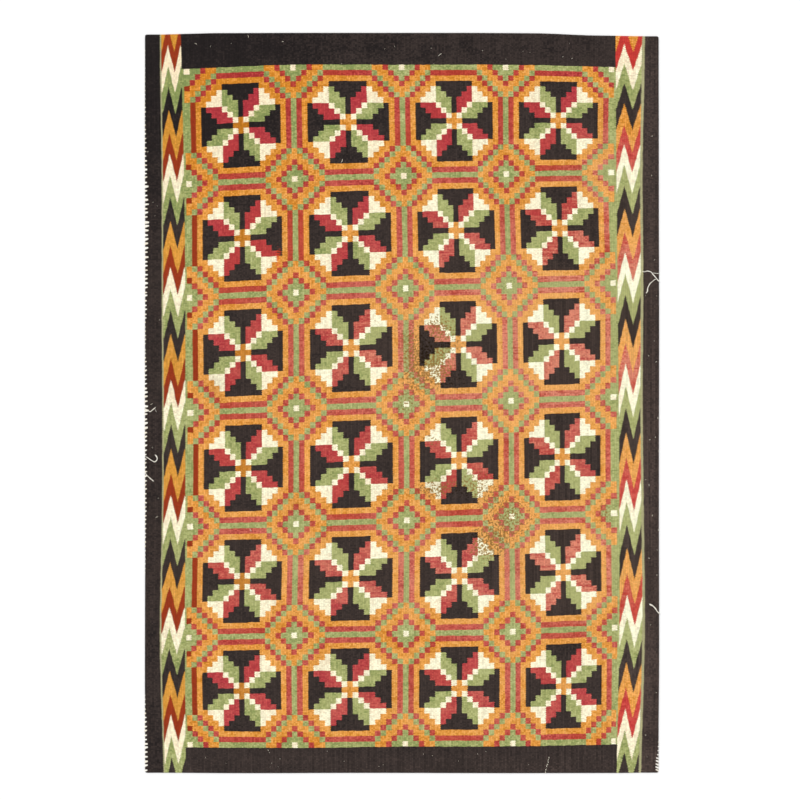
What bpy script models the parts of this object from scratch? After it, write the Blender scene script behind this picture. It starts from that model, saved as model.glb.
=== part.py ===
"""A flat-woven wool rug laid out flat: one cloth, woven in one piece.

Metres, +Z up. X runs across the rug with the weft, Y runs along it with the warp, and the
origin is under the middle of the cloth, on the surface that it lies on.
"""
import math

import bmesh
import bpy
import numpy as np

WIDTH = 1.372               # selvedge to selvedge, 4 ft 6 in
LENGTH = 1.975              # end to end, 6 ft 6 in
THICKNESS = 0.0032          # wool weft packed tight over a cotton warp
EDGE_ROUND = 0.0011         # the cloth is soft and rounded where it ends
EDGE_ROUND_STEPS = 2
CORNER_RADIUS = 0.006
CORNER_STEPS = 4
QUARTER_CIRCLE = 0.5        # the profile of every rounding
STATION_SPACING = 0.045     # between outline points, close enough for an edge's slow waver
RIM_ANGLE = math.radians(60)

# Hand weaving never gives a true rectangle. Each table says how far an edge lies inside
# the full width or length, at places along that edge.
# The far end bows: the warp was tighter in the middle than at the two corners.
FAR_END = (
    # share of the width from the left, distance inside
    (0.00, 0.0062),
    (0.06, 0.0032),
    (0.14, 0.0006),
    (0.30, 0.0000),
    (0.62, 0.0000),
    (0.75, 0.0008),
    (0.89, 0.0072),
    (0.96, 0.0088),
    (1.00, 0.0115),
)
NEAR_END = (
    # share of the width from the left, distance inside
    (0.00, 0.0012),
    (0.20, 0.0000),
    (0.45, 0.0008),
    (0.70, 0.0000),
    (0.92, 0.0004),
    (1.00, 0.0018),
)
LEFT_SELVEDGE = (
    # share of the length from the near end, distance inside
    (0.00, 0.0006),
    (0.14, 0.0000),
    (0.33, 0.0008),
    (0.52, 0.0002),
    (0.71, 0.0009),
    (0.88, 0.0000),
    (1.00, 0.0005),
)
RIGHT_SELVEDGE = (
    # share of the length from the near end, distance inside
    (0.00, 0.0046),
    (0.04, 0.0016),
    (0.16, 0.0000),
    (0.38, 0.0007),
    (0.60, 0.0001),
    (0.80, 0.0008),
    (1.00, 0.0014),
)

WOOL_COLOUR = (0.58, 0.27, 0.10, 1.0)
WOOL_ROUGHNESS = 0.95


def inset_at(edge_table, share):
    """Distance inside the full rectangle at a share along an edge.

    Between two rows of the table the value follows 3t^2 - 2t^3, so the edge has no kinks.
    """
    stations, insets = np.array(edge_table).T
    row = np.clip(np.searchsorted(stations, share, side="right") - 1, 0, len(stations) - 2)
    t = (share - stations[row]) / (stations[row + 1] - stations[row])
    ease = t * t * (3.0 - 2.0 * t)
    return insets[row] + (insets[row + 1] - insets[row]) * ease


def on_the_cloth(across, along):
    """Where a place in the full rectangle, given as shares from 0 to 1, lies on the cloth.

    x goes evenly from the left selvedge to the right one, and y from the near end to the far.
    """
    left = -WIDTH / 2 + inset_at(LEFT_SELVEDGE, along)
    right = WIDTH / 2 - inset_at(RIGHT_SELVEDGE, along)
    near = -LENGTH / 2 + inset_at(NEAR_END, across)
    far = LENGTH / 2 - inset_at(FAR_END, across)
    return np.column_stack([left + (right - left) * across, near + (far - near) * along])


def shares(size):
    """Even shares of an edge from 0 to just under 1, one about every STATION_SPACING."""
    steps = round(size / STATION_SPACING)
    return np.arange(steps) / steps


def cloth_outline():
    """The outline's points, counterclockwise from the near left corner, and its corners."""
    across, along = shares(WIDTH), shares(LENGTH)
    near_end = on_the_cloth(across, np.zeros_like(across))
    right_selvedge = on_the_cloth(np.ones_like(along), along)
    far_end = on_the_cloth(1.0 - across, np.ones_like(across))
    left_selvedge = on_the_cloth(np.zeros_like(along), 1.0 - along)
    corners = np.cumsum([0, len(across), len(along), len(across)])
    return np.concatenate([near_end, right_selvedge, far_end, left_selvedge]), corners


def dyed_wool():
    """Dyed wool, dry and matt: the mean of the orange, red, green, cream and black."""
    material = bpy.data.materials.new("dyed_wool")
    material.use_nodes = True
    shader = material.node_tree.nodes["Principled BSDF"]
    shader.inputs["Base Color"].default_value = WOOL_COLOUR
    shader.inputs["Roughness"].default_value = WOOL_ROUGHNESS
    shader.inputs["Metallic"].default_value = 0.0
    return material


def woven_cloth():
    """The whole rug: its outline drawn up to its thickness, with soft corners and rims."""
    outline, corners = cloth_outline()
    shape = bmesh.new()
    points = [shape.verts.new((x, y, 0.0)) for x, y in outline]
    shape.faces.new(points)
    bmesh.ops.bevel(
        shape, geom=[points[corner] for corner in corners], affect="VERTICES",
        offset=CORNER_RADIUS, segments=CORNER_STEPS, profile=QUARTER_CIRCLE,
    )
    raised = bmesh.ops.extrude_face_region(shape, geom=shape.faces[:], use_keep_orig=True)
    top_points = [item for item in raised["geom"] if isinstance(item, bmesh.types.BMVert)]
    bmesh.ops.translate(shape, verts=top_points, vec=(0.0, 0.0, THICKNESS))
    bmesh.ops.recalc_face_normals(shape, faces=shape.faces[:])
    rims = [
        edge for edge in shape.edges
        if edge.verts[0].co.z == edge.verts[1].co.z and edge.calc_face_angle() > RIM_ANGLE
    ]
    bmesh.ops.bevel(
        shape, geom=rims, affect="EDGES",
        offset=EDGE_ROUND, segments=EDGE_ROUND_STEPS, profile=QUARTER_CIRCLE,
    )
    mesh = bpy.data.meshes.new("woven_cloth")
    shape.to_mesh(mesh)
    shape.free()
    mesh.materials.append(dyed_wool())
    cloth = bpy.data.objects.new("woven_cloth", mesh)
    bpy.context.scene.collection.objects.link(cloth)
    return cloth


for leftover in list(bpy.data.objects):
    bpy.data.objects.remove(leftover, do_unlink=True)

woven_cloth()
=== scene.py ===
# A hand-woven wool rug laid flat and seen from straight above. Metres, +Z up: X runs across
# the rug with the weft, and Y runs along it with the warp.
import math

import bpy
import numpy as np
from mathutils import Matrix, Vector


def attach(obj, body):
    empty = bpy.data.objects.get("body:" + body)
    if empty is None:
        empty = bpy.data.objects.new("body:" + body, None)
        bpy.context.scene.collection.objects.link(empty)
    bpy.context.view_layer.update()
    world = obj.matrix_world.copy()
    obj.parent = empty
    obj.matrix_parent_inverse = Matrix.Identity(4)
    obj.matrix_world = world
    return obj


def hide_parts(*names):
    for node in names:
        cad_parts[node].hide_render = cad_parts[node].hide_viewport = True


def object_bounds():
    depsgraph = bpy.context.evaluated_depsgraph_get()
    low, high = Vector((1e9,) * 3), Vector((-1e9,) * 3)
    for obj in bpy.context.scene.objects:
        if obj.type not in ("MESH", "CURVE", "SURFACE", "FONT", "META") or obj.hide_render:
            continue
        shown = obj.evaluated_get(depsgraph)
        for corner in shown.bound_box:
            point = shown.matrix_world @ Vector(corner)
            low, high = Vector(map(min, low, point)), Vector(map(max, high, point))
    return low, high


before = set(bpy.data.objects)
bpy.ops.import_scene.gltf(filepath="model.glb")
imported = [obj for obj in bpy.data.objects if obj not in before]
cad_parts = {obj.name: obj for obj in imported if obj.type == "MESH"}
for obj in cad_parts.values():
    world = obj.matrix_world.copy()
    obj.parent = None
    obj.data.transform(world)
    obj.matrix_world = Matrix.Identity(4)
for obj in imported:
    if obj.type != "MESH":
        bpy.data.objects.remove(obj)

solid_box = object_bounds()

# The warp and weft. Cotton warps hang side by side on the loom, and wool weft packed over
# them shows each one as a rib. The pattern is counted in steps, each three ribs wide. Across
# the rug come a dark side band, a guard rib, a zigzag strip, a guard rib and the field.
RIBS_PER_STEP = 3
REPEAT = 20                     # steps from one small diamond to the next, both ways
MEDALLIONS = (4, 6)             # across and along the field
BAND_RIBS = 9
GUARD_RIBS = 1
STRIP_RIBS = 12
FAR_BAND_STEPS = 6.4            # dark band at the far end, beyond the first row
NEAR_BAND_STEPS = 5.2
# Where the counted lines came to lie on this rug, in millimetres from its middle. The warp
# wanders sideways, and the weft climbs to the right except near the two ends.
WARP_LINES_MM = (
    # left guard, left strip, steps 0, 20, 40, 60 and 80, right strip, right guard
    (-645, -588, -574, -291, -1, 276, 559, 570, 647),
    (-641, -581, -568, -286, 5, 278, 557, 572, 642),
    (-641, -578, -567, -283, 10, 286, 563, 575, 644),
    (-639, -578, -564, -282, 12, 291, 563, 578, 642),
    (-641, -578, -565, -283, 13, 293, 564, 580, 645),
    (-646, -579, -569, -288, 11, 296, 567, 580, 648),
    (-638, -577, -565, -286, 9, 296, 565, 574, 640),
)
WEFT_LINES_MM = (
    # at steps 0, 20, 40, 60 and 80
    (883, 895, 895, 895, 889),
    (584, 598, 606, 611, 615),
    (280, 295, 306, 313, 320),
    (-26, -14, -3, 6, 16),
    (-330, -323, -313, -303, -294),
    (-626, -620, -615, -610, -599),
    (-911, -913, -909, -908, -902),
)
STRIP_TIPS_MM = (
    # height of each cream tip in the left strip and in the right one
    (954, 957),
    (665, 691),
    (363, 403),
    (62, 105),
    (-246, -204),
    (-545, -513),
    (-831, -815),
)

columns, rows = (count * REPEAT for count in MEDALLIONS)
# How far the strips and bands lie outside the field's first and last columns, in steps.
strip_inner = 0.5 + GUARD_RIBS / RIBS_PER_STEP
strip_outer = strip_inner + STRIP_RIBS / RIBS_PER_STEP
band_inner = strip_outer + GUARD_RIBS / RIBS_PER_STEP
selvedge = band_inner + BAND_RIBS / RIBS_PER_STEP


def through_lines(values, at):
    """Smooth curves through evenly spaced lines, at places counted in lines.

    Each piece is a cubic Hermite: v0(2t^3-3t^2+1) + s0(t^3-2t^2+t) + v1(3t^2-2t^3) +
    s1(t^3-t^2), with the slope at a line the mean of the rises either side of it. Past the
    first and last lines the curve carries on straight.
    """
    rise = np.diff(values, axis=0)
    slope = np.concatenate([rise[:1], (rise[1:] + rise[:-1]) / 2, rise[-1:]])
    piece = np.clip(np.floor(at).astype(int), 0, len(values) - 2)
    whole = (at - piece)[:, None]
    t = np.clip(whole, 0.0, 1.0)
    curve = (
        values[piece] * (2 * t**3 - 3 * t**2 + 1) + slope[piece] * (t**3 - 2 * t**2 + t)
        + values[piece + 1] * (3 * t**2 - 2 * t**3) + slope[piece + 1] * (t**3 - t**2)
    )
    return curve + (whole - t) * np.where(whole < 0, slope[piece], slope[piece + 1])


def solid_edges():
    """The solid's four edges as functions: left and right x of y, near and far y of x.

    They are read from the points round the middle of its rim, without the round corners.
    """
    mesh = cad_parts["woven_cloth"].data
    points = np.empty(len(mesh.vertices) * 3)
    mesh.vertices.foreach_get("co", points)
    points = points.reshape(-1, 3)
    low, high = (np.array(corner) for corner in solid_box)
    rim = points[np.abs(points[:, 2] - high[2] / 2) < high[2] / 4]
    corner = 0.012
    edges = {}
    for name, side, along in (("left", 0, 1), ("right", 0, 1), ("near", 1, 0), ("far", 1, 0)):
        limit = low[side] if name in ("left", "near") else high[side]
        near_edge = np.abs(rim[:, side] - limit) < corner + 0.004
        past_corners = ((rim[:, along] > low[along] + corner)
                        & (rim[:, along] < high[along] - corner))
        edge = rim[near_edge & past_corners]
        edge = edge[np.argsort(edge[:, along])]
        edges[name] = lambda at, e=edge, s=side, a=along: np.interp(at, e[:, a], e[:, s])
    return edges


def on_the_floor(step, row):
    """x and y of every crossing of the step lines (1-D array) with the row lines (1-D array).

    y comes from the weft lines, smooth both ways, and past the first and last row it goes
    evenly to the cloth's end. x goes evenly between the warp lines and out to the selvedges.
    """
    edges = solid_edges()
    inside = np.clip(row, 0, rows)
    weft = through_lines(np.array(WEFT_LINES_MM) / 1000, inside / REPEAT)
    y = through_lines(weft.T, np.clip(step, -3, columns + 3) / REPEAT).T
    warp = through_lines(np.array(WARP_LINES_MM) / 1000, row / REPEAT)
    warp = np.column_stack([edges["left"](y[:, 0]), warp, edges["right"](y[:, -1])])
    stations = np.array([-selvedge, -band_inner, -strip_inner, 0, REPEAT, 2 * REPEAT,
                         3 * REPEAT, columns, columns + strip_inner, columns + band_inner,
                         columns + selvedge])
    left = np.clip(np.searchsorted(stations, step, side="right") - 1, 0, len(stations) - 2)
    share = (step - stations[left]) / (stations[left + 1] - stations[left])
    x = warp[:, left] * (1 - share) + warp[:, left + 1] * share
    to_far = np.clip(-row / FAR_BAND_STEPS, 0, 1)[:, None]
    to_near = np.clip((row - rows) / NEAR_BAND_STEPS, 0, 1)[:, None]
    y = y + to_far * (edges["far"](x) - y) + to_near * (edges["near"](x) - y)
    return x, y


# The woven cloth. One piece of weft-faced tapestry in dyed wool, about 3 mm thick, the same on
# both faces. Ribs stand a third of a millimetre proud, and the edges are soft and round.
CLOTH_MIDDLE = 0.0018           # height of the middle of its thickness
CLOTH_HALF = 0.0014
RIM_ROUND = 0.0016
RIM_COLUMNS = (0.0, 0.00025, 0.0008)            # distances in from a selvedge
RIM_ROWS = (0.0, 0.00025, 0.0009, 0.0022, 0.0050)
ROWS_ALONG = 47
RIB_POINTS = 3                  # a groove and two shoulders
GROOVE_DEPTH = 0.00034
SHOULDER_HEIGHT = 0.00012
CORNER_ROUND = 0.0055
STEP_LENGTH = 0.0150            # one row along the rug, past the places that were measured
RIB_WIDTH = 0.00477
SWELL_HEIGHT = 0.00022


def closed_cloth(name, top, bottom):
    """A closed mesh from two grids of points, top and bottom, that meet round their borders.

    The bottom's border points are the top's, so the two faces are sewn all the way round.
    """
    down, across = top.shape[:2]
    above = np.arange(down * across).reshape(down, across)
    below = above.copy()
    inner = (down - 2) * (across - 2)
    below[1:-1, 1:-1] = down * across + np.arange(inner).reshape(down - 2, across - 2)

    def quads(index, turned):
        """The grid's squares as corner indices, counterclockwise from above, or turned over."""
        ring = [index[1:, :-1], index[1:, 1:], index[:-1, 1:], index[:-1, :-1]]
        return np.stack(ring[::-1] if turned else ring, axis=-1).reshape(-1, 4)

    faces = np.concatenate([quads(above, False), quads(below, True)])
    points = np.concatenate([top.reshape(-1, 3), bottom[1:-1, 1:-1].reshape(-1, 3)])
    mesh = bpy.data.meshes.new(name)
    mesh.vertices.add(len(points))
    mesh.vertices.foreach_set("co", points.ravel())
    mesh.loops.add(faces.size)
    mesh.loops.foreach_set("vertex_index", faces.ravel())
    mesh.polygons.add(len(faces))
    mesh.polygons.foreach_set("loop_start", np.arange(len(faces)) * 4)
    mesh.update(calc_edges=True)
    mesh.shade_smooth()
    return mesh, faces, len(faces) // 2


def put_attribute(mesh, name, values):
    """Stores a row of three numbers for each point of the mesh."""
    layer = mesh.attributes.new(name, "FLOAT_VECTOR", "POINT")
    layer.data.foreach_set("vector", np.ascontiguousarray(values, dtype=np.float32).ravel())


def round_corners(x, y):
    """Draws the four square corners in to arcs.

    Inside a corner's square, p and q run from 0 to 1 towards the corner, and become
    p sqrt(1 - q^2/2) and q sqrt(1 - p^2/2), which bends the square into a quarter disc.
    """
    from_side = np.minimum(x - x[:, :1], x[:, -1:] - x)
    from_end = np.minimum(y[:1] - y, y - y[-1:])
    p = np.clip(1 - from_side / CORNER_ROUND, 0, 1)
    q = np.clip(1 - from_end / CORNER_ROUND, 0, 1)
    draw_x = CORNER_ROUND * p * (1 - np.sqrt(1 - q * q / 2))
    draw_y = CORNER_ROUND * q * (1 - np.sqrt(1 - p * p / 2))
    return x - np.sign(x) * draw_x, y - np.sign(y) * draw_y


def swell(x, y):
    """Slow rise and fall of the laid cloth: four long sine waves in different directions."""
    waves = (
        # waves per metre along x and y, phase, share of the height
        (2.1, 0.7, 0.3, 0.35),
        (-1.3, 2.4, 1.9, 0.30),
        (0.4, 4.1, 4.0, 0.20),
        (4.7, -1.9, 2.6, 0.15),
    )
    return sum(share * np.sin(math.tau * (kx * x + ky * y) + phase)
               for kx, ky, phase, share in waves)


rng = np.random.default_rng(11)
rim_steps = np.array(RIM_COLUMNS) / (RIB_WIDTH * RIBS_PER_STEP)
rib_steps = np.arange(1, round((columns + 2 * selvedge) * RIBS_PER_STEP) * RIB_POINTS)
rib_steps = rib_steps / (RIBS_PER_STEP * RIB_POINTS) - selvedge
cloth_steps = np.concatenate([rim_steps - selvedge, rib_steps,
                              columns + selvedge - rim_steps[::-1]])
end_rows = np.array(RIM_ROWS) / STEP_LENGTH
body_rows = np.linspace(-FAR_BAND_STEPS, rows + NEAR_BAND_STEPS, ROWS_ALONG + 1)[1:-1]
cloth_rows = np.concatenate([end_rows - FAR_BAND_STEPS, body_rows,
                             rows + NEAR_BAND_STEPS - end_rows[::-1]])

square_x, square_y = on_the_floor(cloth_steps, cloth_rows)
cloth_x, cloth_y = round_corners(square_x, square_y)
to_edge = np.minimum(
    np.minimum(square_x - square_x[:, :1], square_x[:, -1:] - square_x),
    np.minimum(square_y[:1] - square_y, square_y - square_y[-1:]),
)
fullness = np.sqrt(1 - (1 - np.clip(to_edge / RIM_ROUND, 0, 1)) ** 2)
rib_place = (cloth_steps + selvedge) * RIBS_PER_STEP
rib_number = np.floor(rib_place + 0.01).astype(int)
in_groove = np.abs(rib_place - np.round(rib_place)) < 0.01
rib_tension = 1 + 0.25 * rng.standard_normal((len(cloth_rows), rib_number.max() + 1)).cumsum(0) / 6
relief = np.where(in_groove, -GROOVE_DEPTH, SHOULDER_HEIGHT)[None] * np.clip(
    rib_tension[:, rib_number], 0.5, 1.6)
slow = swell(cloth_x, cloth_y) * SWELL_HEIGHT
cloth_top = CLOTH_MIDDLE + fullness * (CLOTH_HALF + relief + slow)
cloth_bottom = CLOTH_MIDDLE - fullness * (CLOTH_HALF + relief * 0.6)
top_points = np.stack([cloth_x, cloth_y, cloth_top], axis=-1)
bottom_points = np.stack([cloth_x, cloth_y, cloth_bottom], axis=-1)
cloth_mesh, cloth_faces, top_count = closed_cloth("rug_cloth", top_points, bottom_points)


def to_both(top_values):
    """A grid of values for the top points, repeated for the bottom's inner points."""
    flat = top_values.reshape(-1, top_values.shape[-1])
    return np.concatenate([flat, top_values[1:-1, 1:-1].reshape(-1, top_values.shape[-1])])


def down_the_strip(tip_heights):
    """Steps down from a strip's first cream tip: even from tip to tip, then STEP_LENGTH each."""
    between_tips = np.interp(-cloth_y, -tip_heights, np.arange(len(tip_heights)) * REPEAT)
    before_first = np.minimum(0, (tip_heights[0] - cloth_y) / STEP_LENGTH)
    after_last = np.maximum(0, (tip_heights[-1] - cloth_y) / STEP_LENGTH)
    return between_tips + before_first + after_last


left_tips, right_tips = np.array(STRIP_TIPS_MM).T / 1000
strip_row = np.where(cloth_x < 0, down_the_strip(left_tips), down_the_strip(right_tips))
step_grid = np.broadcast_to(cloth_steps, cloth_x.shape)
row_grid = np.broadcast_to(cloth_rows[:, None], cloth_x.shape)
put_attribute(cloth_mesh, "count", to_both(np.stack([step_grid, row_grid, strip_row], axis=-1)))

bake_map = cloth_mesh.uv_layers.new(name="OFBake")
flat_place = np.stack([cloth_x / 1.372 + 0.5, cloth_y / 1.975 + 0.5], axis=-1)
flat_place = to_both(flat_place)[cloth_faces.ravel()] * (0.496, 0.996) + (0.002, 0.002)
flat_place[top_count * 4:, 0] += 0.5
bake_map.uv.foreach_set("vector", flat_place.astype(np.float32).ravel())


def worn_by(places, x, y):
    """How strongly each point is touched: the sum of soft round spots, from -1 to 1.

    A spot adds strength * exp(-(dx/wide)^2 - (dy/long)^2).
    """
    total = np.zeros_like(x)
    for middle_x, middle_y, wide, long, strength in places:
        total += strength * np.exp(-((x - middle_x) / wide) ** 2 - ((y - middle_y) / long) ** 2)
    return np.clip(total, -1, 1)


# Sun and feet have told on the cloth: places are metres from the middle, with half sizes.
FADED = (
    # x, y, half width, half length, strength
    (-0.10, 0.00, 1.20, 0.62, 0.28),
    (0.45, 0.30, 0.22, 0.26, 0.60),
    (0.30, 0.13, 0.24, 0.16, 0.60),
    (0.00, 0.16, 0.22, 0.14, 0.50),
    (0.14, 0.44, 0.14, 0.12, 0.30),
    (0.53, 0.62, 0.09, 0.12, 0.60),
    (0.32, -0.15, 0.26, 0.10, 0.30),
    (0.00, -0.46, 0.90, 0.12, 0.45),
    (0.46, -0.44, 0.13, 0.16, 0.70),
    (0.10, -0.80, 0.60, 0.12, 0.30),
    (0.61, 0.20, 0.03, 0.26, 0.50),
    (-0.30, -0.015, 0.26, 0.006, 0.30),
)
MOTH_EATEN = (
    (0.02, 0.16, 0.04, 0.10, 0.70),
    (0.08, 0.10, 0.05, 0.06, 0.70),
    (0.01, -0.01, 0.08, 0.10, 0.60),
    (0.14, 0.17, 0.07, 0.08, 0.60),
    (0.09, 0.22, 0.04, 0.04, 0.60),
    (0.16, 0.05, 0.08, 0.04, 0.55),
    (0.085, -0.11, 0.05, 0.04, 0.60),
    (0.085, -0.23, 0.06, 0.04, 0.80),
    (0.19, -0.21, 0.07, 0.06, 0.60),
    (0.29, -0.30, 0.11, 0.10, 0.75),
    (0.22, -0.385, 0.07, 0.05, 0.75),
    (0.54, -0.29, 0.03, 0.06, 0.75),
    (-0.27, -0.245, 0.04, 0.03, 0.65),
    (-0.03, -0.22, 0.07, 0.04, 0.65),
    (-0.07, 0.22, 0.03, 0.03, 0.70),
    (0.55, 0.06, 0.03, 0.02, 0.75),
    (-0.28, 0.38, 0.04, 0.03, 0.55),
)
DEPTH_OF_DYE = (
    # strength above zero is a darker lot, below zero a paler one
    (-0.54, 0.89, 0.34, 0.34, 0.9),
    (0.10, 0.95, 0.60, 0.05, 0.45),
    (-0.66, -0.20, 0.04, 2.0, 0.4),
    (0.635, -0.20, 0.06, 2.0, -0.68),
    (0.34, -0.34, 0.24, 0.56, -0.45),
    (0.42, 0.44, 0.10, 0.10, 0.80),
    (0.44, -0.62, 0.06, 0.04, 1.1),
    (0.0, -0.895, 0.70, 0.02, 0.6),
    (0.61, 0.86, 0.03, 0.20, 0.7),
    (0.61, -0.85, 0.03, 0.14, 0.4),
)
PALE_WARPS = (
    # where single warps are rubbed lighter all along
    (0.16, -0.20, 0.02, 1.0, 0.7),
    (0.42, -0.20, 0.20, 0.75, 0.9),
    (0.66, -0.20, 0.03, 2.0, 0.4),
    (0.10, -0.95, 0.60, 0.04, 0.5),
)
RED_FLUFF = (
    (-0.33, 0.383, 0.016, 0.026, 1.0),
    (0.342, 0.056, 0.006, 0.006, 1.0),
)
DARK_STAIN = (
    (-0.50, 0.035, 0.03, 0.03, 0.8),
    (0.30, -0.42, 0.03, 0.02, 0.6),
    (0.30, -0.675, 0.02, 0.02, 0.7),
    (-0.28, -0.29, 0.03, 0.02, 0.5),
    (0.09, -0.235, 0.05, 0.03, 0.5),
)
age = np.stack([worn_by(places, cloth_x, cloth_y)
                for places in (FADED, MOTH_EATEN, DEPTH_OF_DYE)], axis=-1)
put_attribute(cloth_mesh, "age", to_both(age))
marks = np.stack([worn_by(places, cloth_x, cloth_y)
                  for places in (RED_FLUFF, DARK_STAIN, PALE_WARPS)], axis=-1)
put_attribute(cloth_mesh, "marks", to_both(marks))


def wool_colour(red, green, blue):
    """A screen colour from 0 to 255 as the linear colour that a shader takes."""
    screen = np.array([red, green, blue]) / 255
    linear = np.where(screen <= 0.04045, screen / 12.92, ((screen + 0.055) / 1.055) ** 2.4)
    return (*linear.tolist(), 1.0)


class Dyebook:
    """One finish as it is put together: every method adds a node and gives its output."""

    def __init__(self, name):
        self.material = bpy.data.materials.new(name)
        self.material.use_nodes = True
        self.nodes = self.material.node_tree.nodes
        self.links = self.material.node_tree.links
        self.shader = self.nodes["Principled BSDF"]

    def feed(self, socket, value):
        if isinstance(value, bpy.types.NodeSocket):
            self.links.new(value, socket)
        else:
            socket.default_value = value

    def reckon(self, operation, *terms, clamp=False):
        node = self.nodes.new("ShaderNodeMath")
        node.operation = operation
        node.use_clamp = clamp
        for socket, term in zip(node.inputs, terms):
            self.feed(socket, term)
        return node.outputs[0]

    def add(self, *terms):
        total = terms[0]
        for term in terms[1:]:
            total = self.reckon("ADD", total, term)
        return total

    def times(self, *terms):
        total = terms[0]
        for term in terms[1:]:
            total = self.reckon("MULTIPLY", total, term)
        return total

    def over(self, value, limit):
        return self.reckon("GREATER_THAN", value, limit)

    def under(self, value, limit):
        return self.reckon("LESS_THAN", value, limit)

    def is_number(self, value, number):
        return self.reckon("COMPARE", value, float(number), 0.5)

    def soften(self, value, low, high, to_low=0.0, to_high=1.0):
        node = self.nodes.new("ShaderNodeMapRange")
        node.interpolation_type = "SMOOTHSTEP"
        for socket, term in zip(node.inputs, (value, low, high, to_low, to_high)):
            self.feed(socket, term)
        return node.outputs[0]

    def attribute(self, name):
        node = self.nodes.new("ShaderNodeAttribute")
        node.attribute_name = name
        return self.split(node.outputs["Vector"])

    def split(self, vector):
        node = self.nodes.new("ShaderNodeSeparateXYZ")
        self.feed(node.inputs[0], vector)
        return node.outputs[0], node.outputs[1], node.outputs[2]

    def join(self, x=0.0, y=0.0, z=0.0):
        node = self.nodes.new("ShaderNodeCombineXYZ")
        for socket, value in zip(node.inputs, (x, y, z)):
            self.feed(socket, value)
        return node.outputs[0]

    def cloudy(self, vector, scale=1.0, detail=1.0, roughness=0.5):
        """Smooth noise as (value, colour)."""
        node = self.nodes.new("ShaderNodeTexNoise")
        self.feed(node.inputs["Vector"], vector)
        node.inputs["Scale"].default_value = scale
        node.inputs["Detail"].default_value = detail
        node.inputs["Roughness"].default_value = roughness
        return node.outputs["Fac"], node.outputs["Color"]

    def chance(self, vector):
        """A number from 0 to 1 that jumps from one whole place to the next."""
        node = self.nodes.new("ShaderNodeTexWhiteNoise")
        self.feed(node.inputs["Vector"], vector)
        return node.outputs["Value"]

    def chart(self, value, stops, stepped=True):
        """Looks a number up in rows of (place from 0 to 1, grey or colour)."""
        node = self.nodes.new("ShaderNodeValToRGB")
        ramp = node.color_ramp
        ramp.interpolation = "CONSTANT" if stepped else "EASE"
        for number, (place, tone) in enumerate(stops):
            stop = ramp.elements[number] if number < 2 else ramp.elements.new(place)
            stop.position = place
            stop.color = tone if isinstance(tone, tuple) else (tone, tone, tone, 1.0)
        self.feed(node.inputs[0], value)
        return node.outputs[0]

    def blend(self, share, first, second, kind="MIX"):
        node = self.nodes.new("ShaderNodeMix")
        node.data_type = "RGBA"
        node.blend_type = kind
        colours = [socket for socket in node.inputs if socket.type == "RGBA"]
        self.feed(node.inputs[0], share)
        self.feed(colours[0], first)
        self.feed(colours[1], second)
        return [socket for socket in node.outputs if socket.type == "RGBA"][0]

    def pick(self, share, first, second):
        """first where share is 0, second where it is 1."""
        return self.add(first, self.times(share, self.reckon("SUBTRACT", second, first)))


BLACK, GREEN, RED, ORANGE, CREAM = range(5)
YARNS = 4.0                     # the highest yarn number, so that a chart's greys stay from 0 to 1
RING_CHART = (
    # first ring out from a medallion's middle, yarn
    (8, ORANGE),
    (9, RED),
    (10, GREEN),
    (11, ORANGE),
    (13, RED),
    (14, GREEN),
    (16, CREAM),
)
STRIP_CHART = (
    # steps down from a cream tip, yarn
    (0.0, CREAM),
    (3.8, GREEN),
    (7.6, BLACK),
    (11.8, ORANGE),
    (16.1, RED),
)
ZIGZAG_RISE = (5.0, 5.4)        # steps from a valley up to a tip, left strip and right strip
ZIGZAG_TURNS = 3.07             # rises and falls from the strip's left edge to its right one
WOOL = {
    # yarn: dark, middle and light lots, then how it fades
    BLACK: ((34, 29, 29), (57, 48, 45), (79, 66, 61), (62, 51, 46)),
    GREEN: ((134, 148, 86), (162, 167, 104), (180, 184, 126), (170, 172, 112)),
    RED: ((164, 44, 48), (184, 66, 62), (198, 88, 78), (212, 130, 106)),
    ORANGE: ((208, 130, 34), (226, 151, 63), (233, 168, 92), (231, 167, 95)),
    CREAM: ((246, 226, 190), (246, 234, 200), (248, 244, 212), (249, 247, 216)),
}
BRICK_RED = (150, 54, 26)
VERMILION = (180, 66, 42)
PETAL_RED = (178, 54, 68)
HEART_ORANGE = (174, 106, 18)
STRIP_RED = (204, 54, 54)
STRIP_OCHRE = (208, 150, 58)
GUARD_GREEN = (172, 168, 126)
BITTEN = (0.38, 0.27, 0.12)     # how much light a bitten place gives back, by colour
BARE_WARP = (246, 222, 176)
FLUFF_RED = (208, 62, 34)


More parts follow.
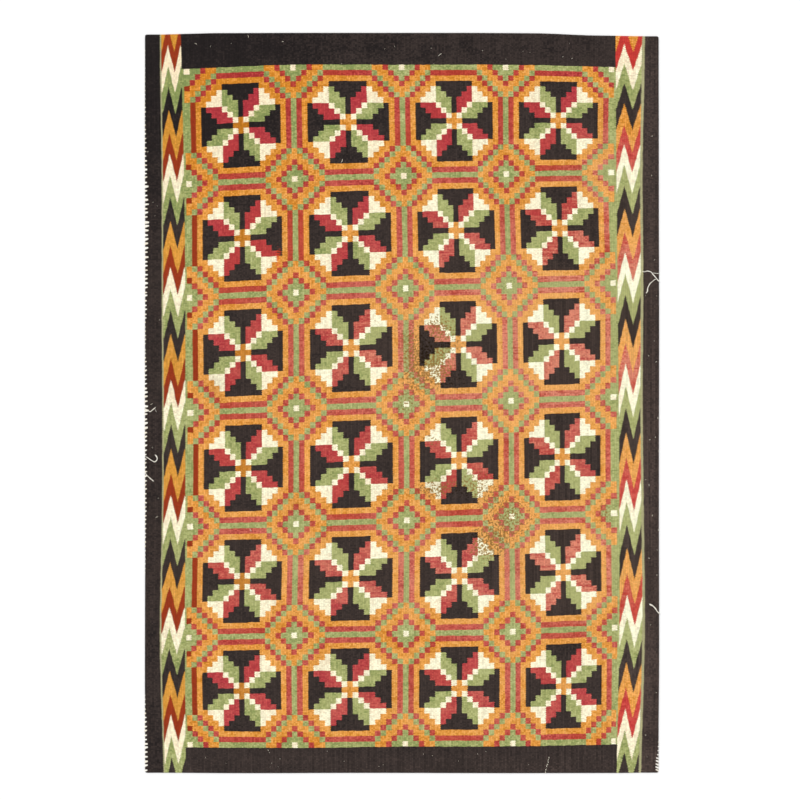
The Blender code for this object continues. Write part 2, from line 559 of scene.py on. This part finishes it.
def dyed_wool():
    """The cloth's finish, worked out from the count of steps and rows at each point."""
    book = Dyebook("dyed_wool")
    step, row, strip_place = book.attribute("count")
    fade, moth, depth = book.attribute("age")
    red_fluff, stain, pale_warps = book.attribute("marks")

    # Weft turns back round the warp at each upright edge of a colour, which leaves small
    # teeth, and rows that were beaten down unevenly leave the level edges slightly wavy.
    _, waver_colour = book.cloudy(book.join(step, row), scale=0.9)
    waver_step, waver_row, _ = book.split(waver_colour)
    teeth = book.reckon("PINGPONG", book.times(row, 2.7), 0.5)
    edge_step = book.add(step, book.times(teeth, 0.36), book.times(waver_step, 0.20), -0.19)
    edge_row = book.add(row, book.times(waver_row, 0.24), -0.12)

    # The field: medallions on a repeat of 20 steps, counted out from each one's middle.
    cell = book.reckon("FLOOR", book.add(edge_step, 0.5))
    line = book.reckon("FLOOR", book.add(edge_row, 0.5))
    from_left = book.add(book.reckon("MODULO", cell, float(REPEAT)), -REPEAT / 2)
    from_top = book.add(book.reckon("MODULO", line, float(REPEAT)), -REPEAT / 2)
    sideways = book.reckon("ABSOLUTE", from_left)
    lengthways = book.reckon("ABSOLUTE", from_top)
    longer = book.reckon("MAXIMUM", sideways, lengthways)
    shorter = book.reckon("MINIMUM", sideways, lengthways)
    stairs = book.add(sideways, lengthways)
    cut_corner = book.reckon("SUBTRACT", book.add(stairs, -3.0), book.over(stairs, 11.5))
    ring = book.reckon("MAXIMUM", longer, cut_corner)
    petal = book.times(book.over(shorter, 0.5), book.under(shorter, 3.5),
                       book.under(book.reckon("SUBTRACT", longer, shorter), 3.5))
    turn = book.times(from_left, from_top, book.reckon("SUBTRACT", sideways, lengthways))
    yarn = book.times(petal, book.add(book.over(turn, 0.0), float(GREEN)))
    wedge = book.over(shorter, 3.5)
    diagonal = book.is_number(book.reckon("SUBTRACT", longer, shorter), 0)
    yarn = book.pick(book.reckon("MAXIMUM", wedge, diagonal), yarn, float(CREAM))
    heart = book.under(stairs, 1.5)
    yarn = book.pick(heart, yarn, float(ORANGE))
    ring_stops = [(0.0, 0.0)] + [((at - 0.5) / REPEAT, kind / YARNS) for at, kind in RING_CHART]
    ring_yarn = book.times(book.chart(book.times(ring, 1 / REPEAT), ring_stops), YARNS)
    field_yarn = book.pick(book.over(ring, 7.5), yarn, ring_yarn)

    # The zigzag strips: five colours in turn, each running up and down across the strip.
    out = book.reckon("ABSOLUTE", book.add(edge_step, -columns / 2))
    on_right = book.over(step, columns / 2)
    from_inner = book.times(book.add(out, -columns / 2 - strip_inner), RIBS_PER_STEP / STRIP_RIBS)
    across_strip = book.pick(on_right, book.reckon("SUBTRACT", 1.0, from_inner), from_inner)
    zigzag = book.reckon("PINGPONG", book.times(across_strip, ZIGZAG_TURNS), 1.0)
    rise = book.pick(on_right, ZIGZAG_RISE[0], ZIGZAG_RISE[1])
    lag = book.times(book.reckon("SUBTRACT", zigzag, 1.0), rise)
    down = book.add(strip_place, lag, book.times(waver_row, 0.5), -0.25)
    turn_place = book.times(book.reckon("WRAP", down, float(REPEAT), 0.0), 1 / REPEAT)
    strip_stops = [(at / REPEAT, kind / YARNS) for at, kind in STRIP_CHART]
    strip_yarn = book.times(book.chart(turn_place, strip_stops), YARNS)

    half = columns / 2
    guard_edge = book.pick(on_right, half + strip_outer + 0.08, half + strip_outer - 0.10)
    in_rows = book.times(book.over(edge_row, -0.5), book.under(edge_row, rows + 0.5))
    in_field = book.times(book.under(out, half + 0.5), in_rows)
    in_strip = book.times(book.over(out, half + strip_inner), book.under(out, guard_edge))
    inner_guard = book.times(book.over(out, half + 0.5), book.under(out, half + strip_inner),
                             in_rows)
    outer_guard = book.times(book.over(out, guard_edge), book.under(out, half + band_inner))
    yarn = book.add(book.times(in_field, field_yarn), book.times(in_strip, strip_yarn),
                    book.times(book.add(inner_guard, outer_guard), float(GREEN)))

    # Each skein took the dye a little differently, and each small area was woven with its own.
    rib = book.times(book.add(step, selvedge), float(RIBS_PER_STEP))
    rib_number = book.reckon("FLOOR", rib)
    skein, _ = book.cloudy(book.join(book.times(step, 0.21), book.times(row, 0.34)), detail=2.0)
    butterfly = book.chance(book.join(cell, line))
    strand, _ = book.cloudy(book.join(book.times(step, 1.3), book.times(row, 5.0)), detail=2.0)
    knot = book.chance(book.join(rib_number, book.reckon("FLOOR", book.times(row, 4.0))))
    bite, bite_colour = book.cloudy(book.join(book.times(step, 2.4), book.times(row, 2.6)),
                                    detail=3.0, roughness=0.65)
    rubbed = book.times(book.add(moth, 0.40), book.add(bite, -0.5), -2.6)
    lot = book.add(book.times(skein, 0.8), book.times(butterfly, 0.20), book.times(strand, 0.6),
                   book.times(knot, 0.46), book.times(depth, -0.35), rubbed, -0.53)
    even_lot = book.add(book.times(skein, 0.4), book.times(knot, 0.2), book.times(depth, -0.35),
                        book.times(in_field, -0.08), 0.2)
    passes_across, _ = book.cloudy(book.join(book.times(step, 0.25), book.times(row, 3.2)),
                                   detail=2.0)
    patchy = book.add(book.times(skein, 0.5), book.times(butterfly, 0.12),
                      book.times(passes_across, 0.9), book.times(knot, 0.2))
    faded = book.reckon("MULTIPLY", fade, book.soften(patchy, 0.55, 1.10, 0.40, 1.50), clamp=True)
    tones = {}
    for kind, (dark, middle, light, bleached) in WOOL.items():
        stops = ((0.15, wool_colour(*dark)), (0.5, wool_colour(*middle)),
                 (0.85, wool_colour(*light)))
        tone = book.chart(even_lot if kind == BLACK else lot, stops, stepped=False)
        tones[kind] = book.blend(faded, tone, wool_colour(*bleached))
    fresh = book.reckon("SUBTRACT", 1.0, faded)
    upright_bar = book.times(book.under(cell, 1.5), book.under(lengthways, 4.5))
    brick = book.reckon("MAXIMUM", book.under(cell, 0.5), upright_bar)
    in_petal = book.times(petal, in_field, book.under(ring, 7.5))
    warm, _ = book.cloudy(book.join(book.times(step, 0.05), book.times(row, 0.05), 4.0))
    lattice = book.times(book.soften(warm, 0.35, 0.65, 0.0, 0.8), fresh)
    tones[RED] = book.blend(lattice, tones[RED], wool_colour(*VERMILION))
    tones[RED] = book.blend(book.times(in_petal, fresh, 0.6), tones[RED], wool_colour(*PETAL_RED))
    tones[RED] = book.blend(book.times(on_right, in_strip, fresh, 0.65), tones[RED],
                            wool_colour(*STRIP_RED))
    tones[RED] = book.blend(brick, tones[RED], wool_colour(*BRICK_RED))
    toasted = book.times(heart, in_field, book.soften(step, 4.0, 26.0, 0.75, 0.05))
    tones[ORANGE] = book.blend(toasted, tones[ORANGE], wool_colour(*HEART_ORANGE))
    tones[ORANGE] = book.blend(book.times(in_strip, book.under(cell, 0.5), 0.6), tones[ORANGE],
                               wool_colour(*STRIP_OCHRE))
    tones[GREEN] = book.blend(outer_guard, tones[GREEN], wool_colour(*GUARD_GREEN))
    colour = tones[BLACK]
    for kind in (GREEN, RED, ORANGE, CREAM):
        colour = book.blend(book.is_number(yarn, kind), colour, tones[kind])

    # Moth and wear: small brown bites, thickest where the rug was most walked on, and pale
    # warp showing through beside them. A little red fluff and two stains lie on the field.
    bare, _, _ = book.split(bite_colour)
    reach = book.soften(moth, 0.0, 1.0, 0.74, 0.44)
    bitten = book.soften(bite, reach, book.add(reach, 0.08))
    worn_bare = book.times(book.soften(bare, book.add(reach, 0.02), book.add(reach, 0.07)),
                           book.over(yarn, 0.5))
    colour = book.blend(book.times(worn_bare, 0.7), colour, wool_colour(*BARE_WARP))
    colour = book.blend(bitten, colour, (*BITTEN, 1.0), "MULTIPLY")
    wisp = book.soften(book.add(red_fluff, book.times(strand, 0.8)), 0.80, 1.05)
    colour = book.blend(book.times(wisp, 0.8), colour, wool_colour(*FLUFF_RED))

    # The ribs: each warp's own light and dark, each pass of weft over it, and the shadow in
    # the groove beside it.
    across_rib = book.reckon("FRACT", rib)
    groove = book.reckon("ABSOLUTE", book.add(across_rib, -0.5))
    streak, _ = book.cloudy(book.join(book.times(rib_number, 0.73), book.times(row, 0.05)))
    weft, _ = book.cloudy(book.join(book.times(step, 4.0), book.times(row, 7.0)), detail=2.0)
    on_black = book.under(yarn, 0.5)
    # Painted shadow: the colour in each groove is darkened to this share, less on cream.
    groove_shadow = book.pick(book.over(yarn, 3.5), 0.86, 0.93)
    streaked = book.add(book.soften(streak, 0.3, 0.7), -0.5)
    streak_on_black = book.add(book.times(pale_warps, 0.30), 0.12)
    streak_strength = book.add(book.times(on_black, streak_on_black), 0.12)
    # shade: painted shadow in the grooves and a slight painted lift on the rib shoulders, with the
    # wool's own streaks, weft, knots and stains.
    shade = book.add(book.soften(groove, 0.28, 0.5, 1.04, groove_shadow),
                     book.times(streaked, streak_strength),
                     book.times(book.add(weft, -0.5), 0.55),
                     book.times(book.add(knot, -0.5), 0.22),
                     book.times(stain, -0.25))
    colour = book.blend(1.0, colour, book.join(shade, shade, shade), "MULTIPLY")

    # Weft passes lie over each warp like a row of small beads, half a pass apart on
    # neighbouring warps.
    passes = book.add(book.times(row, 11.0), book.times(book.reckon("FLOOR", rib), 0.5))
    bead = book.reckon("PINGPONG", passes, 0.5)
    fluff, _ = book.cloudy(book.join(book.times(step, 14.0), book.times(row, 14.0)), detail=3.0)
    height = book.add(book.times(bead, 0.9), book.times(fluff, 0.8), book.times(strand, 0.6))
    bump = book.nodes.new("ShaderNodeBump")
    bump.inputs["Strength"].default_value = 0.55
    bump.inputs["Distance"].default_value = 0.0007
    book.feed(bump.inputs["Height"], height)
    book.feed(book.shader.inputs["Normal"], bump.outputs[0])
    book.feed(book.shader.inputs["Base Color"], colour)
    book.shader.inputs["Roughness"].default_value = 0.93
    book.shader.inputs["Specular IOR Level"].default_value = 0.06
    book.shader.inputs["Sheen Weight"].default_value = 0.04
    book.shader.inputs["Sheen Roughness"].default_value = 0.6
    return book.material


cloth_mesh.materials.append(dyed_wool())
cloth = bpy.data.objects.new("rug_cloth", cloth_mesh)
bpy.context.scene.collection.objects.link(cloth)
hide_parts("woven_cloth")
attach(cloth, "root")

# The overcast edge. Undyed two-ply yarn whipped over the left selvedge and the lower right
# corner, a stitch every 12 mm. Some reach 9 mm in over the cloth, and others only hold its rim.
STITCH_PITCH = 0.0117
STITCH_POINTS = 17
STITCH_OUT = 0.0008             # how far a stitch stands out past the edge
STITCH_TOP = 0.0037             # heights of its middle above and below the cloth
STITCH_UNDER = 0.00047
STITCH_REACH_MM = (
    # height on the left selvedge, and how far in the stitches reach there
    (970, 0.4), (850, 0.8), (760, 2.0), (700, 3.5), (625, 5.0), (560, 7.0), (500, 9.6),
    (450, 9.0), (395, 7.5), (330, 6.0), (265, 4.5), (210, 1.8), (130, 2.5), (70, 4.8),
    (10, 7.2), (-75, 7.2), (-125, 4.2), (-180, 3.8), (-260, 3.6), (-340, 2.4), (-420, 1.2),
    (-480, 0.0), (-765, 0.0), (-800, 1.8), (-850, 4.5), (-900, 6.0), (-985, 6.5),
)
CORNER_STITCHES_MM = (
    # height on the right selvedge, reach, half width
    (-905, 1.2, 1.6),
    (-917, 1.6, 1.6),
    (-928, 2.0, 1.7),
    (-939, 3.0, 1.8),
    (-949, 5.5, 2.3),
    (-957, 6.5, 2.5),
    (-966, 7.0, 2.6),
    (-974, 7.5, 2.6),
    (-981, 7.0, 2.4),
)


def strands(name, paths, wide, thick, facing):
    """Strands of yarn as one closed mesh, from paths of (strand, point, xyz).

    Each ring is path + across * wide * cos(a) + over * thick * sin(a). Across is the direction
    facing made square to the path, and over is square to both. Each end closes on a point
    half a thickness beyond the last ring. The layer lay keeps metres along, share of a turn
    round, and the strand's number.
    """
    count, length = paths.shape[:2]
    sides = 8
    along = np.gradient(paths, axis=1)
    along /= np.linalg.norm(along, axis=2, keepdims=True)
    across = np.array(facing, float) - along * (along @ np.array(facing, float))[..., None]
    across /= np.linalg.norm(across, axis=2, keepdims=True)
    over = np.cross(along, across)
    turn = np.arange(sides) / sides
    ring = (across[:, :, None] * (wide[:, :, None] * np.cos(math.tau * turn))[..., None]
            + over[:, :, None] * (thick[:, :, None] * np.sin(math.tau * turn))[..., None])
    points = (paths[:, :, None] + ring).reshape(-1, 3)
    first_tip = paths[:, 0] - along[:, 0] * thick[:, :1] / 2
    last_tip = paths[:, -1] + along[:, -1] * thick[:, -1:] / 2
    index = np.arange(len(points)).reshape(count, length, sides)
    after = np.roll(index, -1, axis=2)
    walls = np.stack([index[:, :-1], after[:, :-1], after[:, 1:], index[:, 1:]], axis=-1)
    first = np.broadcast_to(len(points) + np.arange(count)[:, None], (count, sides))
    last = first + count
    ends = np.concatenate([
        np.stack([first, after[:, 0], index[:, 0]], axis=-1).reshape(-1, 3),
        np.stack([last, index[:, -1], after[:, -1]], axis=-1).reshape(-1, 3),
    ])
    mesh = bpy.data.meshes.new(name)
    mesh.from_pydata(np.concatenate([points, first_tip, last_tip]).tolist(), [],
                     walls.reshape(-1, 4).tolist() + ends.tolist())
    mesh.shade_smooth()
    pieces = np.linalg.norm(np.diff(paths, axis=1), axis=2)
    so_far = np.concatenate([np.zeros((count, 1)), pieces.cumsum(1)], axis=1)
    numbers = np.arange(count)
    lay = np.stack(np.broadcast_arrays(so_far[:, :, None], turn, numbers[:, None, None]), axis=-1)
    tips = np.stack([np.concatenate([so_far[:, 0], so_far[:, -1]]), np.full(2 * count, 0.5),
                     np.tile(numbers, 2)], axis=-1)
    put_attribute(mesh, "lay", np.concatenate([lay.reshape(-1, 3), tips]))
    return mesh


def undyed_yarn(name, light, dark, ply_length):
    """Two plies twisted together: slanting ridges, with painted shade in the line between them."""
    book = Dyebook(name)
    along, turn, number = book.attribute("lay")
    twist = book.add(book.times(along, 1 / ply_length), book.times(turn, 2.0))
    ply = book.times(book.reckon("PINGPONG", twist, 0.5), 2.0)
    fuzz, _ = book.cloudy(book.join(book.times(along, 700.0), book.times(turn, 3.0), number),
                          detail=3.0)
    soil = book.chance(book.join(number))
    # Painted shade between the plies, plus each strand's own soil and a little fuzz.
    share = book.add(book.soften(ply, 0.0, 0.4, 0.45, 0.0), book.times(soil, 0.35),
                     book.times(book.add(fuzz, -0.5), 0.5))
    colour = book.blend(share, wool_colour(*light), wool_colour(*dark))
    bump = book.nodes.new("ShaderNodeBump")
    bump.inputs["Strength"].default_value = 0.7
    bump.inputs["Distance"].default_value = 0.0005
    book.feed(bump.inputs["Height"], book.add(ply, fuzz))
    book.feed(book.shader.inputs["Normal"], bump.outputs[0])
    book.feed(book.shader.inputs["Base Color"], colour)
    book.shader.inputs["Roughness"].default_value = 0.9
    book.shader.inputs["Specular IOR Level"].default_value = 0.08
    book.shader.inputs["Sheen Weight"].default_value = 0.05
    return book.material


def overcast(heights, side, reach, slant):
    """Paths of stitches that wrap an edge: side is -1 for the left edge and 1 for the right.

    With s from -1 on the underside to 1 on top, a stitch lies in from the edge by
    (out + reach) * |s|^1.6 - out, its height goes as tanh(3.5 s), and its ends dip into the
    cloth. The top end is slant further up the rug than the rim, and the other end lower.
    """
    s = np.linspace(-1, 1, STITCH_POINTS)
    edge = solid_edges()["left" if side < 0 else "right"](heights)
    inward = (STITCH_OUT + reach[:, None]) * np.abs(s) ** 1.6 - STITCH_OUT
    x = edge[:, None] - side * inward
    y = heights[:, None] + slant[:, None] * s
    middle = (STITCH_TOP + STITCH_UNDER) / 2
    z = middle + (STITCH_TOP - STITCH_UNDER) / 2 * np.tanh(3.5 * s) / np.tanh(3.5)
    z = z - np.sign(s) * 0.0010 * np.clip((np.abs(s) - 0.8) / 0.2, 0, 1) ** 2
    return np.stack([x, y, np.broadcast_to(z, x.shape)], axis=-1)


left_heights = np.arange(0.9740, -0.9800, -STITCH_PITCH)
reach_table = np.array(STITCH_REACH_MM) / 1000
left_reach = np.interp(-left_heights, -reach_table[:, 0], reach_table[:, 1])
left_heights, left_reach = left_heights[left_reach > 0.0005], left_reach[left_reach > 0.0005]
stitch_count = len(left_heights)
left_heights = left_heights + rng.normal(0, 0.0008, stitch_count)
left_reach = left_reach * rng.normal(1, 0.14, stitch_count) + 0.0006
left_paths = overcast(left_heights, -1, left_reach, rng.normal(0.0012, 0.0009, stitch_count))
corner = np.array(CORNER_STITCHES_MM) / 1000
corner_paths = overcast(corner[:, 0], 1, corner[:, 1], corner[:, 1] * 0.5)
stitch_paths = np.concatenate([left_paths, corner_paths])
stitch_shape = np.abs(np.linspace(-1, 1, STITCH_POINTS))
stitch_wide = np.concatenate([rng.normal(1, 0.1, stitch_count) * (0.0016 + left_reach * 0.24),
                              corner[:, 2]])
edge_mesh = strands("overcast_edge", stitch_paths,
                    stitch_wide[:, None] * (1 - 0.5 * stitch_shape**2),
                    np.full(stitch_paths.shape[:2], 0.00040), (0, 1, 0))
edge_mesh.materials.append(undyed_yarn("edge_yarn", (255, 254, 248), (214, 186, 128), 0.006))
overcast_edge = bpy.data.objects.new("overcast_edge", edge_mesh)
bpy.context.scene.collection.objects.link(overcast_edge)
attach(overcast_edge, "root")

# The loose ends. Ends of the same yarn that have come free at both selvedges and lie curled
# on the dark bands, 2 to 3 mm thick, with two thin ones that have unplied.
LOOSE_END_POINTS = 33
LOOSE_ENDS_MM = (
    # half width at the first and last point, then x and y of each point
    (0.9, 1.2, ((-686, -14), (-679, -19), (-672, -23), (-666, -19), (-657, -11))),
    (0.4, 0.3, ((-661, -14), (-658, -18), (-655, -24))),
    (0.9, 1.5, ((-686, -141), (-677, -147), (-668, -153), (-660, -157), (-654, -152),
                (-653, -147), (-655, -142), (-659, -138))),
    (1.0, 1.3, ((-686, -180), (-682, -191), (-675, -198), (-668, -204), (-662, -209))),
    (1.0, 1.3, ((640, 352), (647, 350), (654, 352), (660, 351), (665, 349), (669, 344),
                (674, 338), (679, 332), (683, 327), (687, 324))),
    (0.6, 0.8, ((669, 347), (676, 346), (686, 345))),
    (0.8, 1.7, ((679, 331), (674, 329), (668, 324), (662, 319), (659, 314), (656, 308),
                (655, 303), (655, 299), (653, 295), (651, 293))),
    (2.0, 1.1, ((660, -536), (663, -538), (669, -541), (674, -546), (678, -551),
                (681, -556), (685, -560), (689, -563))),
)
end_paths, end_wide = [], []
for first_width, last_width, places in LOOSE_ENDS_MM:
    corners = np.array(places, float) / 1000
    share = np.linspace(0, 1, LOOSE_END_POINTS)
    flat_path = through_lines(corners, share * (len(corners) - 1))
    width = (first_width + (last_width - first_width) * share) / 1000
    width = width * (1 + 0.15 * np.sin(share * 19 + first_width * 40))
    height = 0.0033 + width * 0.6 + 0.0004 * np.sin(share * 11)
    end_paths.append(np.column_stack([flat_path, height]))
    end_wide.append(width)
end_paths, end_wide = np.array(end_paths), np.array(end_wide)
taper = np.minimum(1, 0.45 + 6 * np.minimum(np.linspace(0, 1, LOOSE_END_POINTS),
                                            np.linspace(1, 0, LOOSE_END_POINTS)))
ends_mesh = strands("loose_ends", end_paths, end_wide * taper * 0.75, end_wide * taper, (0, 0, 1))
ends_mesh.materials.append(undyed_yarn("loose_yarn", (255, 252, 242), (214, 196, 164), 0.007))
loose_ends = bpy.data.objects.new("loose_ends", ends_mesh)
bpy.context.scene.collection.objects.link(loose_ends)
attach(loose_ends, "root")

# The mend and the lint. A short line of small hand stitches in pale cotton near the lower
# right corner, and bits of pale fibre a few millimetres long that have settled on the cloth.
SPECK_POINTS = 7
MEND_STITCHES_MM = (
    # x, y, length, direction in degrees
    (392, -946, 5, 80),
    (390, -952, 4, 60),
    (390, -958, 4, 110),
    (388, -964, 4, 40),
    (386, -969, 4, 80),
    (384, -978, 5, 75),
    (383, -985, 4, 90),
)
LINT_MM = (
    (650, -204, 3, 20),
    (659, -219, 5, 100),
    (668, -300, 5, 60),
    (659, -414, 4, 150),
    (680, -459, 4, 80),
    (650, -886, 4, 95),
    (667, 712, 4, 10),
    (666, 607, 3, 70),
    (678, 110, 4, 40),
    (658, 126, 3, 120),
    (676, -91, 3, 60),
    (661, -98, 4, 20),
    (683, -40, 5, 95),
    (684, -128, 3, 90),
    (684, -339, 4, 100),
    (-668, -3, 6, 30),
    (-678, 670, 4, 60),
    (-654, -304, 7, 15),
    (-550, 958, 6, 150),
    (-410, 978, 7, 110),
    (-318, 964, 5, 0),
    (101, 929, 12, 40),
    (-404, -339, 9, 120),
    (-160, 646, 10, 70),
)
LINT_BANDS = (
    # bits, lowest and highest x, lowest and highest y
    (9, 648, 681, -960, 960),
    (6, -670, -646, -970, 970),
    (14, -560, 560, 905, 965),
    (18, -560, 560, -975, -920),
)
scattered = np.concatenate([
    np.column_stack([rng.uniform(low_x, high_x, bits), rng.uniform(low_y, high_y, bits),
                     rng.uniform(1.5, 4.5, bits), rng.uniform(0, 180, bits)])
    for bits, low_x, high_x, low_y, high_y in LINT_BANDS
])
specks = np.concatenate([MEND_STITCHES_MM, LINT_MM, scattered])
speck_wide = np.concatenate([np.full(len(MEND_STITCHES_MM), 0.9), np.full(len(LINT_MM), 0.6),
                             rng.uniform(0.2, 0.5, len(scattered))]) / 1000
heading = np.radians(specks[:, 3:4])
s = np.linspace(-0.5, 0.5, SPECK_POINTS)
run = specks[:, 2:3] * s / 1000
bow = 0.25 * specks[:, 2:3] / 1000 * (s * s - 0.1) * rng.normal(0, 1.5, (len(specks), 1))
speck_paths = np.stack([
    specks[:, :1] / 1000 + run * np.cos(heading) - bow * np.sin(heading),
    specks[:, 1:2] / 1000 + run * np.sin(heading) + bow * np.cos(heading),
    0.0033 + speck_wide[:, None] * (1 - 1.2 * (2 * s) ** 4),
], axis=-1)
speck_round = speck_wide[:, None] * np.sqrt(1 - 0.8 * (2 * s) ** 2)
speck_mesh = strands("mend_and_lint", speck_paths, speck_round, speck_round, (0, 0, 1))
speck_mesh.materials.append(undyed_yarn("pale_cotton", (250, 244, 226), (190, 172, 140), 0.003))
mend_and_lint = bpy.data.objects.new("mend_and_lint", speck_mesh)
bpy.context.scene.collection.objects.link(mend_and_lint)
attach(mend_and_lint, "root")

# The floor and the light: a plain pale floor under soft light from all round, a little
# stronger from the upper left, so that the ribs show.
floor_mesh = bpy.data.meshes.new("floor")
floor_mesh.from_pydata([(-4, -4, 0), (4, -4, 0), (4, 4, 0), (-4, 4, 0)], [], [(0, 1, 2, 3)])
floor = bpy.data.objects.new("floor", floor_mesh)
bpy.context.scene.collection.objects.link(floor)
pale = bpy.data.materials.new("pale_floor")
pale.use_nodes = True
pale.node_tree.nodes["Principled BSDF"].inputs["Base Color"].default_value = (0.98, 0.98, 0.98, 1)
pale.node_tree.nodes["Principled BSDF"].inputs["Roughness"].default_value = 0.9
floor_mesh.materials.append(pale)

world = bpy.data.worlds.new("soft_room")
world.use_nodes = True
world.node_tree.nodes["Background"].inputs["Color"].default_value = (1.0, 1.0, 1.0, 1)
world.node_tree.nodes["Background"].inputs["Strength"].default_value = 0.78
bpy.context.scene.world = world
key = bpy.data.lights.new("window", "SUN")
key.angle = math.radians(15)
key.energy = 1.15
key_object = bpy.data.objects.new("window", key)
key_object.rotation_euler = (math.radians(-27), math.radians(-30), 0)
bpy.context.scene.collection.objects.link(key_object)

# The camera looks straight down from high up with a long lens, the far end of the rug at the
# top of the picture.
CAMERA_HEIGHT = 7.0
VIEW_SIZE = 2.135               # metres of floor from one side of the picture to the other
camera = bpy.data.cameras.new("camera")
camera.sensor_width = 36.0
camera.lens = camera.sensor_width * CAMERA_HEIGHT / VIEW_SIZE
camera.clip_end = 50
camera_object = bpy.data.objects.new("camera", camera)
camera_object.location = (-0.0053, 0.0080, CAMERA_HEIGHT)
bpy.context.scene.collection.objects.link(camera_object)
bpy.context.scene.camera = camera_object
bpy.context.scene.view_settings.view_transform = "Standard"
